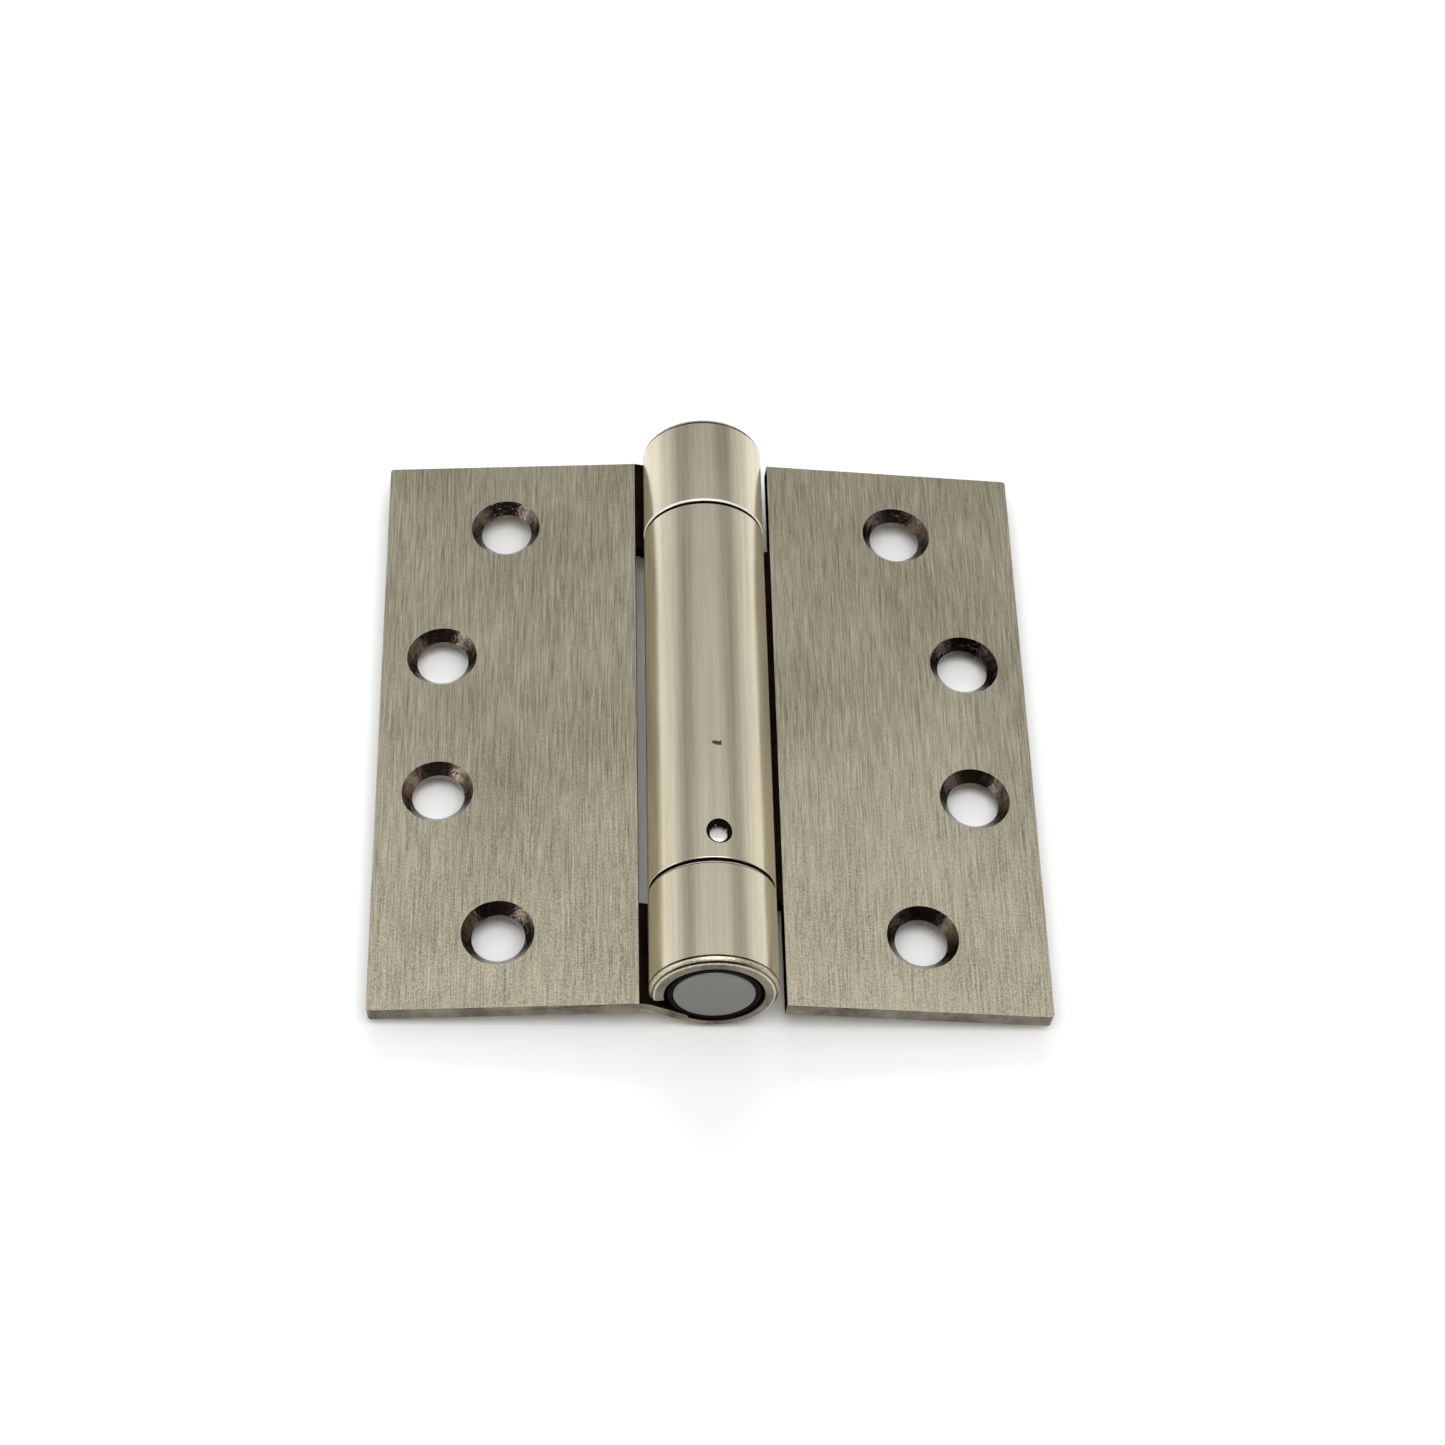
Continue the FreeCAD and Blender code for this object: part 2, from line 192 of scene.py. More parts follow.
def turned(name: str, profile: Profile, segments: int = 96) -> bpy.types.Object:
    """Turn a profile about the hinge axis by extruding and scaling a circle.

    Args:
        name: Name of the new object.
        profile: (radius, v) points; an end at the axis is closed with a face, and a profile that
            never reaches the axis is closed onto itself.
        segments: Vertices round the axis.

    Returns:
        The closed, turned piece in the leaf's frame.
    """
    solid = profile[0][0] == 0.0
    rings = profile[1:-1] if solid else [*profile, profile[0]]
    deselect()
    radius, v = rings[0]
    fill = "NGON" if solid else "NOTHING"
    bpy.ops.mesh.primitive_circle_add(
        vertices=segments, radius=radius, fill_type=fill, location=(0, v, 0), rotation=(math.pi / 2, 0, 0)
    )
    obj = active(name)
    bpy.ops.object.transform_apply(location=True, rotation=True, scale=True)
    mode(obj, True)
    bpy.ops.mesh.select_mode(type="EDGE")
    bpy.ops.mesh.select_all(action="SELECT")
    if solid:
        bpy.ops.mesh.region_to_loop()
    for next_radius, next_v in rings[1:]:
        bpy.ops.mesh.extrude_edges_move(TRANSFORM_OT_translate={"value": (0, next_v - v, 0)})
        ratio = next_radius / radius
        bpy.ops.transform.resize(value=(ratio, 1, ratio), center_override=(0, next_v, 0))
        radius, v = next_radius, next_v
    if solid:
        bpy.ops.mesh.edge_face_add()
    bpy.ops.mesh.select_all(action="SELECT")
    bpy.ops.mesh.remove_doubles(threshold=0.001 * MM)
    bpy.ops.mesh.normals_make_consistent(inside=False)
    mode(obj, False)
    return obj


def drilled(name: str, radius: float, start: Vector, end: Vector, sides: int = 48) -> bpy.types.Object:
    """Round bar between two points, used as a drill."""
    deselect()
    along = end - start
    bpy.ops.mesh.primitive_cylinder_add(
        vertices=sides,
        radius=radius,
        depth=along.length,
        location=(start + end) / 2,
        rotation=along.to_track_quat("Z", "Y").to_euler(),
    )
    obj = active(name)
    bpy.ops.object.transform_apply(location=True, rotation=True, scale=True)
    return obj


def settle(obj: bpy.types.Object, side: Side) -> None:
    """Move a finished piece from its leaf's frame into place and give it smooth shading."""
    obj.data.transform(side.placement())
    if side is Side.FRAME:
        mode(obj, True)
        bpy.ops.mesh.select_all(action="SELECT")
        bpy.ops.mesh.normals_make_consistent(inside=False)
        mode(obj, False)
    only(obj)
    bpy.ops.object.shade_smooth_by_angle(angle=SMOOTH_ANGLE)
    apply_modifier(obj, "WEIGHTED_NORMAL", weight=80, keep_sharp=True)


def paint(
    obj: bpy.types.Object, materials: list[bpy.types.Material], rule: Callable[[Vector, Vector], int]
) -> None:
    """Give a piece its materials, face by face.

    Args:
        obj: The piece, still in its leaf's frame.
        materials: The finishes in slot order.
        rule: Given a face's centre and normal, returns the slot number.
    """
    for material in materials:
        obj.data.materials.append(material)
    for face in obj.data.polygons:
        face.material_index = rule(Vector(face.center), Vector(face.normal))


# ---------------------------------------------------------------- finishes


def linear(code: str) -> tuple[float, float, float, float]:
    """Turn an sRGB hex code such as "A0B1C2" into linear colour with alpha 1."""
    parts = [int(code[i : i + 2], 16) / 255 for i in (0, 2, 4)]
    return (*[p / 12.92 if p <= 0.04045 else ((p + 0.055) / 1.055) ** 2.4 for p in parts], 1.0)


def add_node(
    tree: bpy.types.NodeTree,
    kind: str,
    settings: dict[str, object] | None = None,
    values: dict[str | int, object] | None = None,
    links: dict[str | int, bpy.types.NodeSocket] | None = None,
) -> bpy.types.Node:
    """Add a shader node with its settings, socket values and incoming links.

    Args:
        tree: The node tree.
        kind: Node type name.
        settings: Attributes of the node.
        values: Default values by input name or number.
        links: Sources by input name or number.

    Returns:
        The new node.
    """
    node = tree.nodes.new(kind)
    for key, value in (settings or {}).items():
        setattr(node, key, value)
    for key, value in (values or {}).items():
        node.inputs[key].default_value = value
    for key, source in (links or {}).items():
        tree.links.new(source, node.inputs[key])
    return node


def ramp(node: bpy.types.Node, stops: list[tuple[float, str]]) -> bpy.types.Node:
    """Set the stops of a colour ramp from positions and hex codes."""
    band = node.color_ramp
    while len(band.elements) < len(stops):
        band.elements.new(0.5)
    for element, (place, code) in zip(band.elements, stops):
        element.position = place
        element.color = linear(code)
    return node


@dataclass(frozen=True)
class SatinNickel:
    """Nickel plate over steel, brushed along the hinge axis.

    The brushing gives fine lines along the hinge and the tone drifts slowly over the leaf. Towards the near
    end the plating turns sandier, and the same term paints the leaf lighter there as painted light.
    """

    name: str
    dark: str
    light: str
    roughness: float
    rough_drift: float
    grain_width: float  # real brush lines are about 0.1 mm; drawn wider so that they show
    grain_length: float
    grain_depth: float
    wave_depth: float  # long shallow flutes left by rolling the strip
    speckle_and_light: float  # grit towards the near end, whose offset also paints the leaf lighter there (painted light)

    def material(self) -> bpy.types.Material:
        """Build the node material."""
        mat = bpy.data.materials.new(self.name)
        mat.use_nodes = True
        tree = mat.node_tree
        tree.nodes.clear()
        place = add_node(tree, "ShaderNodeTexCoord").outputs["Object"]
        fine = 1 / self.grain_width
        along = 1 / self.grain_length

        stretched = add_node(
            tree, "ShaderNodeMapping", values={"Scale": (fine, along, fine)}, links={"Vector": place}
        )
        grain = add_node(
            tree,
            "ShaderNodeTexNoise",
            values={"Scale": 1.0, "Detail": 4.0, "Roughness": 0.65, "Distortion": 0.35},
            links={"Vector": stretched.outputs[0]},
        )
        flutes = add_node(
            tree,
            "ShaderNodeMapping",
            values={"Scale": (1 / (2.2 * MM), 1 / (11 * MM), 1 / (2.2 * MM))},
            links={"Vector": place},
        )
        wave = add_node(
            tree,
            "ShaderNodeTexNoise",
            values={"Scale": 1.0, "Detail": 2.0, "Roughness": 0.55, "Distortion": 0.6},
            links={"Vector": flutes.outputs[0]},
        )
        grit = add_node(
            tree,
            "ShaderNodeTexNoise",
            values={"Scale": 1 / (0.34 * MM), "Detail": 2.0, "Roughness": 0.7},
            links={"Vector": place},
        )
        drift = add_node(
            tree,
            "ShaderNodeTexNoise",
            values={"Scale": 1 / (26 * MM), "Detail": 3.0, "Roughness": 0.5},
            links={"Vector": place},
        )

        split = add_node(tree, "ShaderNodeSeparateXYZ", links={"Vector": place})
        # painted light: the grit less 0.34 is mostly above zero and is weighted up towards the near end, so
        # the leaf is painted lighter there as well as grittier
        near_end = add_node(
            tree,
            "ShaderNodeMapRange",
            values={"From Min": 5 * MM, "From Max": -0.9 * HALF_LENGTH, "To Min": 0.35, "To Max": 1.0},
            links={"Value": split.outputs["Y"]},
        )
        faint = add_node(
            tree,
            "ShaderNodeMath",
            settings={"operation": "MULTIPLY"},
            values={1: 0.35},
            links={0: drift.outputs["Fac"]},
        )
        mixed = add_node(
            tree,
            "ShaderNodeMath",
            settings={"operation": "ADD"},
            links={0: grain.outputs["Fac"], 1: faint.outputs[0]},
        )
        centred = add_node(
            tree,
            "ShaderNodeMath",
            settings={"operation": "SUBTRACT"},
            values={1: 0.34},
            links={0: grit.outputs["Fac"]},
        )
        grit_and_light = add_node(
            tree,
            "ShaderNodeMath",
            settings={"operation": "MULTIPLY"},
            links={0: centred.outputs[0], 1: near_end.outputs[0]},
        )
        tone = add_node(
            tree,
            "ShaderNodeMath",
            settings={"operation": "MULTIPLY_ADD"},
            values={1: self.speckle_and_light},
            links={0: grit_and_light.outputs[0], 2: mixed.outputs[0]},
        )
        colour = ramp(
            add_node(tree, "ShaderNodeValToRGB", links={"Fac": tone.outputs[0]}),
            [(0.46, self.dark), (0.97, self.light)],
        )
        rough = add_node(
            tree,
            "ShaderNodeMapRange",
            values={
                "From Min": 0.3,
                "From Max": 0.7,
                "To Min": self.roughness - self.rough_drift,
                "To Max": self.roughness + self.rough_drift,
            },
            links={"Value": grain.outputs["Fac"]},
        )
        lines = add_node(
            tree,
            "ShaderNodeBump",
            values={"Strength": 1.0, "Distance": self.grain_depth},
            links={"Height": grain.outputs["Fac"]},
        )
        rolled = add_node(
            tree,
            "ShaderNodeBump",
            values={"Strength": 1.0, "Distance": self.wave_depth},
            links={"Height": wave.outputs["Fac"], "Normal": lines.outputs[0]},
        )
        sand = add_node(
            tree,
            "ShaderNodeBump",
            values={"Strength": 1.0, "Distance": self.speckle_and_light * 0.05 * MM},
            links={"Height": grit_and_light.outputs[0], "Normal": rolled.outputs[0]},
        )
        shader = add_node(
            tree,
            "ShaderNodeBsdfPrincipled",
            values={"Metallic": 1.0},
            links={
                "Base Color": colour.outputs["Color"],
                "Roughness": rough.outputs[0],
                "Normal": sand.outputs[0],
            },
        )
        add_node(tree, "ShaderNodeOutputMaterial", links={"Surface": shader.outputs[0]})
        return mat


@dataclass(frozen=True)
class PlainFinish:
    """A finish with one fine texture: turned steel, nylon, satin paint, and the painted shade and painted
    highlight in the leaves' hollows and on their rims.
    """

    name: str
    dark: str
    light: str
    metallic: float
    roughness: float
    texture: float  # width of the texture's features
    depth: float
    specular: float = 0.5

    def material(self) -> bpy.types.Material:
        """Build the node material."""
        mat = bpy.data.materials.new(self.name)
        mat.use_nodes = True
        tree = mat.node_tree
        tree.nodes.clear()
        place = add_node(tree, "ShaderNodeTexCoord").outputs["Object"]
        grit = add_node(
            tree,
            "ShaderNodeTexNoise",
            values={"Scale": 1 / self.texture, "Detail": 4.0, "Roughness": 0.6},
            links={"Vector": place},
        )
        patch = add_node(
            tree,
            "ShaderNodeTexNoise",
            values={"Scale": 1 / (8 * self.texture), "Detail": 2.0},
            links={"Vector": place},
        )
        tone = add_node(
            tree,
            "ShaderNodeMath",
            settings={"operation": "MULTIPLY_ADD"},
            values={1: 0.5},
            links={0: grit.outputs["Fac"], 2: patch.outputs["Fac"]},
        )
        colour = ramp(
            add_node(tree, "ShaderNodeValToRGB", links={"Fac": tone.outputs[0]}),
            [(0.5, self.dark), (1.0, self.light)],
        )
        rough = add_node(
            tree,
            "ShaderNodeMapRange",
            values={
                "From Min": 0.3,
                "From Max": 0.7,
                "To Min": self.roughness * 0.85,
                "To Max": self.roughness * 1.15,
            },
            links={"Value": patch.outputs["Fac"]},
        )
        bump = add_node(
            tree,
            "ShaderNodeBump",
            values={"Strength": 1.0, "Distance": self.depth},
            links={"Height": grit.outputs["Fac"]},
        )
        shader = add_node(
            tree,
            "ShaderNodeBsdfPrincipled",
            values={"Metallic": self.metallic, "Specular IOR Level": self.specular},
            links={
                "Base Color": colour.outputs["Color"],
                "Roughness": rough.outputs[0],
                "Normal": bump.outputs[0],
            },
        )
        add_node(tree, "ShaderNodeOutputMaterial", links={"Surface": shader.outputs[0]})
        return mat


# brushed satin nickel for the leaves, painted lighter towards the near end
LEAF_PLATE = SatinNickel(
    "satin_nickel_leaf", "7E7765", "D8D1B9", 0.40, 0.05, 0.24 * MM, 8 * MM, 0.018 * MM, 0.02 * MM, 0.9
)
BARREL_PLATE = SatinNickel(
    "satin_nickel_barrel", "D0C7B0", "E9E0C8", 0.23, 0.03, 0.7 * MM, 40 * MM, 0.004 * MM, 0.006 * MM, 0.0
)
# painted highlight: near-white, hardly metallic bands on the frame leaf's rounded rims at the joints
RIM_HIGHLIGHT = PlainFinish("painted_rim_highlight", "E6E3D6", "F6F3E8", 0.1, 0.25, 0.5 * MM, 0.004 * MM)
# sheared edges and the barrel's end faces: darker partly as raw sheared metal, partly as painted shade
SHEARED_EDGE_SHADE = PlainFinish("sheared_edge_and_shade", "4C473D", "8E8778", 1.0, 0.36, 0.5 * MM, 0.05 * MM)
# painted shade: dark glossy brown for the countersink walls, the nick and thin lines on the frame leaf's
# rounded rims
WALL_SHADE = PlainFinish("painted_shade_walls_and_rim_lines", "241B17", "80746A", 1.0, 0.14, 1.3 * MM, 0.2 * MM)
# painted shade: near-black for the bore and its chamfer, the pin hole, the joint end faces, the far joint's
# rim, the bend and the notch walls
CREVICE_SHADE = PlainFinish("painted_crevice_shade", "080605", "1C1512", 0.0, 0.6, 0.6 * MM, 0.01 * MM, 0.0)
TURNED_STEEL = PlainFinish("turned_steel", "6F6F6D", "A5A5A2", 1.0, 0.34, 0.5 * MM, 0.01 * MM)
DRAWN_STEEL = PlainFinish("bright_drawn_steel", "E4E2DA", "F6F4EE", 1.0, 0.3, 0.4 * MM, 0.004 * MM)
SATIN_GREY = PlainFinish("satin_grey_zinc", "7A7A75", "848480", 0.6, 0.5, 0.3 * MM, 0.004 * MM)
BLACK_NYLON = PlainFinish("black_nylon", "080707", "141211", 0.0, 0.6, 0.4 * MM, 0.01 * MM, 0.04)
SPRING_WIRE = PlainFinish("oil_tempered_wire", "2E2E30", "56565A", 1.0, 0.38, 0.4 * MM, 0.006 * MM)


# ---------------------------------------------------------------- the hinge's pieces


def register(obj: bpy.types.Object, body: str, node: str) -> None:
    """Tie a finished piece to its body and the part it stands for."""
    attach(obj, body)
    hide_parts(node)
    LOG.info("%s rides on %s: %d faces", obj.name, body, len(obj.data.polygons))


@dataclass
class RolledLeaf:
    """A stamped leaf whose inner edge is bent down, led under the barrel and rolled into knuckles."""

    node: str
    body: str
    side: Side
    knuckles: list[tuple[float, float]]
    band_slope: float = 32.0
    bend_inner: float = 2.5 * MM
    curl_end: float = 8.0
    corner_radius: float = 0.6 * MM
    end_round: float = 1.4 * MM
    joint_round: float = 0.55 * MM
    bore_chamfer: float = 0.6 * MM
    edge_round: float = 0.18 * MM
    nick_from_hole: float = 17.6 * MM
    nick_depth: float = 0.3 * MM
    hole_r: float = 4.5 * MM
    countersink_r: float = 6.15 * MM
    countersink_half_angle: float = 41.0
    holes: list[tuple[float, float]] = field(
        default_factory=lambda: [
            (u, s * v)
            for u, v in ((OUTER_U - 21.35 * MM, 42.86 * MM), (OUTER_U - 10.55 * MM, 42.86 * MM / 3))
            for s in (-1, 1)
        ]
    )

    def bend_centre(self) -> Vector:
        """Centre of the bend between the flat plate and the sloping band."""
        slope = math.radians(self.band_slope)
        mid_ring, mid_bend = BARREL_R - THICKNESS / 2, self.bend_inner + THICKNESS / 2
        drop = mid_ring * math.cos(slope) + FRONT_W - THICKNESS / 2 - mid_bend * (1 - math.cos(slope))
        u = (mid_ring + mid_bend) * math.sin(slope) + drop / math.tan(slope)
        return Vector((u, 0.0, BACK_W - self.bend_inner))

    def knuckle(self, v_from: float, v_to: float) -> bpy.types.Object:
        """Roll one knuckle with its band, from the curl's free end to just inside the plate.

        Args:
            v_from: Near end of the knuckle along the axis.
            v_to: Far end.

        Returns:
            The closed knuckle in the leaf's frame.
        """
        deselect()
        bpy.ops.mesh.primitive_plane_add(
            size=1,
            location=polar(BARREL_R - THICKNESS / 2, -self.curl_end, (v_from + v_to) / 2),
            rotation=(0, math.radians(self.curl_end), 0),
        )
        obj = active("%s_knuckle" % self.node)
        obj.scale = (THICKNESS, v_to - v_from, 1)
        bpy.ops.object.transform_apply(location=True, rotation=True, scale=True)
        slope = math.radians(self.band_slope)
        sweep = math.radians(270 + self.band_slope + self.curl_end)
        bend = self.bend_centre()
        mid_bend = self.bend_inner + THICKNESS / 2
        bend_end = bend + Vector((-mid_bend * math.sin(slope), 0, mid_bend * math.cos(slope)))
        tangent = polar(BARREL_R - THICKNESS / 2, self.band_slope - 90)
        mode(obj, True)
        bpy.ops.mesh.select_mode(type="FACE")
        bpy.ops.mesh.select_all(action="SELECT")
        bpy.ops.mesh.spin(steps=88, angle=sweep, center=(0, 0, 0), axis=AXIS)
        bpy.ops.mesh.extrude_region_move(TRANSFORM_OT_translate={"value": bend_end - tangent})
        bpy.ops.mesh.spin(steps=7, angle=-slope, center=bend, axis=AXIS)
        into_plate = (NOTCH_U - bend.x + 1.5 * MM, 0, 0)
        bpy.ops.mesh.extrude_region_move(TRANSFORM_OT_translate={"value": into_plate})
        bpy.ops.mesh.select_all(action="SELECT")
        bpy.ops.mesh.remove_doubles(threshold=0.001 * MM)
        bpy.ops.mesh.normals_make_consistent(inside=False)
        for v_end in (v_from, v_to):
            at_barrel_end = abs(abs(v_end) - HALF_LENGTH) < 0.01 * MM
            self.ease_rim(obj, v_end, self.end_round if at_barrel_end else self.joint_round)
        mode(obj, False)
        return obj

    def ease_rim(self, obj: bpy.types.Object, v_end: float, radius: float) -> None:
        """Round a knuckle's outer rim and chamfer its bore at one end, in edit mode."""
        tiny = 0.01 * MM

        def outer(point: Vector) -> bool:
            reach = math.hypot(point.x, point.z)
            on_ring = abs(reach - BARREL_R) < tiny
            return abs(point.y - v_end) < tiny and (on_ring or (reach > BARREL_R and point.z < BACK_W + tiny))

        def inner(point: Vector) -> bool:
            return abs(point.y - v_end) < tiny and abs(math.hypot(point.x, point.z) - BORE_R) < tiny

        if pick(obj, "EDGE", lambda a, b: outer(a) and outer(b)):
            bpy.ops.mesh.bevel(offset=radius, segments=6 if radius > MM else 4, affect="EDGES")
        if pick(obj, "EDGE", lambda a, b: inner(a) and inner(b)):
            bpy.ops.mesh.bevel(offset=self.bore_chamfer, segments=1, affect="EDGES")

    def plate(self) -> bpy.types.Object:
        """The flat of the leaf with its two rounded outer corners."""
        deselect()
        middle = ((NOTCH_U + OUTER_U) / 2, 0, (FRONT_W + BACK_W) / 2)
        bpy.ops.mesh.primitive_cube_add(size=1, location=middle)
        obj = active(self.node + "_skin")
        obj.scale = (OUTER_U - NOTCH_U, HINGE_LENGTH, THICKNESS)
        bpy.ops.object.transform_apply(location=True, rotation=True, scale=True)
        mode(obj, True)
        edge_u = OUTER_U - 0.01 * MM
        pick(obj, "EDGE", lambda a, b: a.x > edge_u and b.x > edge_u and abs(a.y - b.y) < 0.01 * MM)
        bpy.ops.mesh.bevel(offset=self.corner_radius, segments=5, affect="EDGES")
        mode(obj, False)
        return obj

    def countersinks(self) -> list[bpy.types.Object]:
        """Cutters for the screw holes, modelled once and copied."""
        land = math.tan(math.radians(self.countersink_half_angle))
        cone = (self.countersink_r - self.hole_r) / land
        over = 0.5 * MM
        bottom, top = BACK_W - over, FRONT_W - cone
        first = drilled("countersink", self.hole_r, Vector((0, 0, bottom)), Vector((0, 0, top)), 72)
        mode(first, True)
        pick(first, "FACE", lambda centre, normal: normal.z > 0.9)
        bpy.ops.mesh.extrude_region_move(TRANSFORM_OT_translate={"value": (0, 0, cone + over)})
        wide = (self.countersink_r + over * land) / self.hole_r
        bpy.ops.transform.resize(value=(wide, wide, 1), center_override=(0, 0, FRONT_W + over))
        mode(first, False)
        cutters = []
        for u, v in self.holes:
            copy = first.copy()
            copy.data = first.data.copy()
            copy.data.transform(Matrix.Translation((u, v, 0)))
            bpy.context.collection.objects.link(copy)
            cutters.append(copy)
        bpy.data.objects.remove(first, do_unlink=True)
        return cutters

    def anchor_hole(self) -> bpy.types.Object:
        """Cutter for the anchor pin's hole under the far knuckle."""
        v = (JOINT_V + HALF_LENGTH) / 2
        return drilled("anchor_hole", ANCHOR_HOLE_R, Vector((0, v, 0)), Vector((0, v, -BARREL_R - MM)))

    def top_cutters(self) -> list[bpy.types.Object]:
        """Cutters for the top of the centre knuckle: the pin hole, its mouth and the nick."""
        foot, top = Vector((0, PIN_HOLE_V, 0)), Vector((0, PIN_HOLE_V, BARREL_R + MM))
        hole = drilled("pin_hole", PIN_HOLE_R, foot, top)
        mouth = turned("pin_hole_mouth", [(0, 0), (PIN_HOLE_R, 0), (3.15 * MM, 1.5 * MM), (0, 1.5 * MM)], 48)
        mouth.data.transform(Matrix.Rotation(math.pi / 2, 4, "X"))
        mouth.data.transform(Matrix.Translation((0, PIN_HOLE_V, BARREL_R - 0.75 * MM)))
        deselect()
        return [hole, mouth, self.nick()]

    def nick(self) -> bpy.types.Object:
        """Cutter for the small oval scar on the centre knuckle, with a chip beside its end."""
        v, top = PIN_HOLE_V + self.nick_from_hole, BARREL_R + MM
        foot = BARREL_R - self.nick_depth
        nick = drilled("nick", 0.5 * MM, Vector((0, 0, foot)), Vector((0, 0, top)), 14)
        nick.data.transform(Matrix.Diagonal((1.8, 0.8, 1.0, 1.0)))
        nick.data.transform(Matrix.Translation((-0.1 * MM, v, 0)) @ Matrix.Rotation(-0.25, 4, "Z"))
        mode(nick, True)
        pick(nick, "FACE", lambda centre, normal: normal.y > 0.6 and centre.x > 0.25 * MM)
        bpy.ops.mesh.extrude_region_move(TRANSFORM_OT_translate={"value": (0.15 * MM, 0.35 * MM, 0)})
        mode(nick, False)
        return nick

    def slot_rule(self, centre: Vector, normal: Vector) -> int:
        """Finish of a face.

        Args:
            centre: The face's centre in the leaf's frame.
            normal: Its normal.

        Returns:
            0 plate, 1 barrel, 2 painted wall shade, 3 sheared edge with painted shade, 4 painted crevice
            shade, 5 painted rim highlight.
        """
        reach = math.hypot(centre.x, centre.z)
        # painted shade on the countersink walls
        for u, v in self.holes:
            in_sink = math.hypot(centre.x - u, centre.y - v) < self.countersink_r + 0.05 * MM
            if in_sink and abs(normal.z) < 0.9:
                return 2
        on_top = centre.z > BARREL_R - 2 * MM and abs(centre.x) < 4 * MM
        in_hole = math.hypot(centre.x, centre.y - PIN_HOLE_V) < 2.5 * MM
        in_nick = math.hypot(centre.x, centre.y - PIN_HOLE_V - self.nick_from_hole) < 1.5 * MM
        # painted shade: crevice shade in the pin hole, wall shade in the nick
        if self.side is Side.DOOR and on_top and (in_hole or in_nick) and reach < BARREL_R - 0.03 * MM:
            return 4 if in_hole else 2
        # painted shade on the knuckles' end faces at the joints
        end_face = abs(normal.y) > 0.95
        if end_face and abs(centre.y) < JOINT_V + 0.1 * MM and centre.x < NOTCH_U - 0.1 * MM:
            return 4
        # frame leaf's rounded rims: painted shade lines and painted highlight bands at the joints; at the
        # barrel's ends, painted shade lines on the plate finish
        rounded = 0.1 < abs(normal.y) < 0.95 and BORE_R + MM < reach < BARREL_R
        if self.side is Side.FRAME and rounded:
            at_end = abs(centre.y) > HALF_LENGTH - self.end_round
            steep = abs(normal.y)
            if at_end:
                return 2 if steep < 0.2 or 0.7 < steep < 0.85 else 0
            if centre.y > 0:
                return 5 if steep < 0.7 else 4
            return 2 if steep < 0.2 else 5
        # painted shade in the bore and on its chamfer
        if reach < BORE_R + self.bore_chamfer + 0.05 * MM and not end_face:
            return 4
        # painted shade on the bend that faces down towards the barrel
        in_bend = 3 * MM < centre.x < self.bend_centre().x + 0.1 * MM and reach > BARREL_R + 0.02 * MM
        if in_bend and normal.z > 0.2 and normal.x < -0.03:
            return 4
        # the barrel's end faces take the sheared edge finish, partly painted shade
        if centre.x < NOTCH_U - 0.1 * MM or reach < BARREL_R + 0.2 * MM:
            return 3 if end_face else 1
        # painted shade on the notch wall that faces the barrel
        if normal.x < -0.6 and centre.x < NOTCH_U + 0.1 * MM:
            return 4
        # plate edges: sheared edge finish, partly painted shade
        if abs(normal.z) < 0.3:
            return 3
        return 0 if abs(normal.z) > 0.97 else 1

    def build(self, materials: list[bpy.types.Material]) -> bpy.types.Object:
        """Make the leaf, dress it and lay it in place."""
        leaf = self.plate()
        combine(leaf, [self.knuckle(*span) for span in self.knuckles], "UNION")
        holes = self.countersinks()
        if self.side is Side.FRAME:
            holes.append(self.anchor_hole())
        combine(leaf, holes, "DIFFERENCE")
        round_edges(leaf, self.edge_round)
        if self.side is Side.DOOR:
            combine(leaf, self.top_cutters(), "DIFFERENCE")
        apply_modifier(leaf, "WELD", merge_threshold=WELD_GAP)
        paint(leaf, materials, self.slot_rule)
        settle(leaf, self.side)
        register(leaf, self.body, self.node)
        return leaf


@dataclass
class BarrelPiece:
    """A round piece turned about the hinge axis, or about its own axis across the barrel."""

    node: str
    body: str
    slot: str
    side: Side
    profile: Profile
    finish: PlainFinish
    across: float | None = None  # place along the hinge of a piece that stands across the axis
    round_over: float = 0.12 * MM
    drills: list[tuple[float, Vector, Vector, int]] = field(default_factory=list)

    def build(self) -> bpy.types.Object:
        """Turn, drill, round and dress the piece."""
        obj = turned(self.node + "_skin", self.profile)
        cutters = [drilled("drill", *d) for d in self.drills]
        combine(obj, cutters, "DIFFERENCE")
        if self.across is not None:
            obj.data.transform(Matrix.Rotation(math.pi / 2, 4, "X"))
            obj.data.transform(Matrix.Translation((0, self.across, 0)))
        round_edges(obj, self.round_over)
        paint(obj, [self.finish.material()], lambda centre, normal: 0)
        settle(obj, self.side)
        register(obj, self.body, self.node)
        return obj


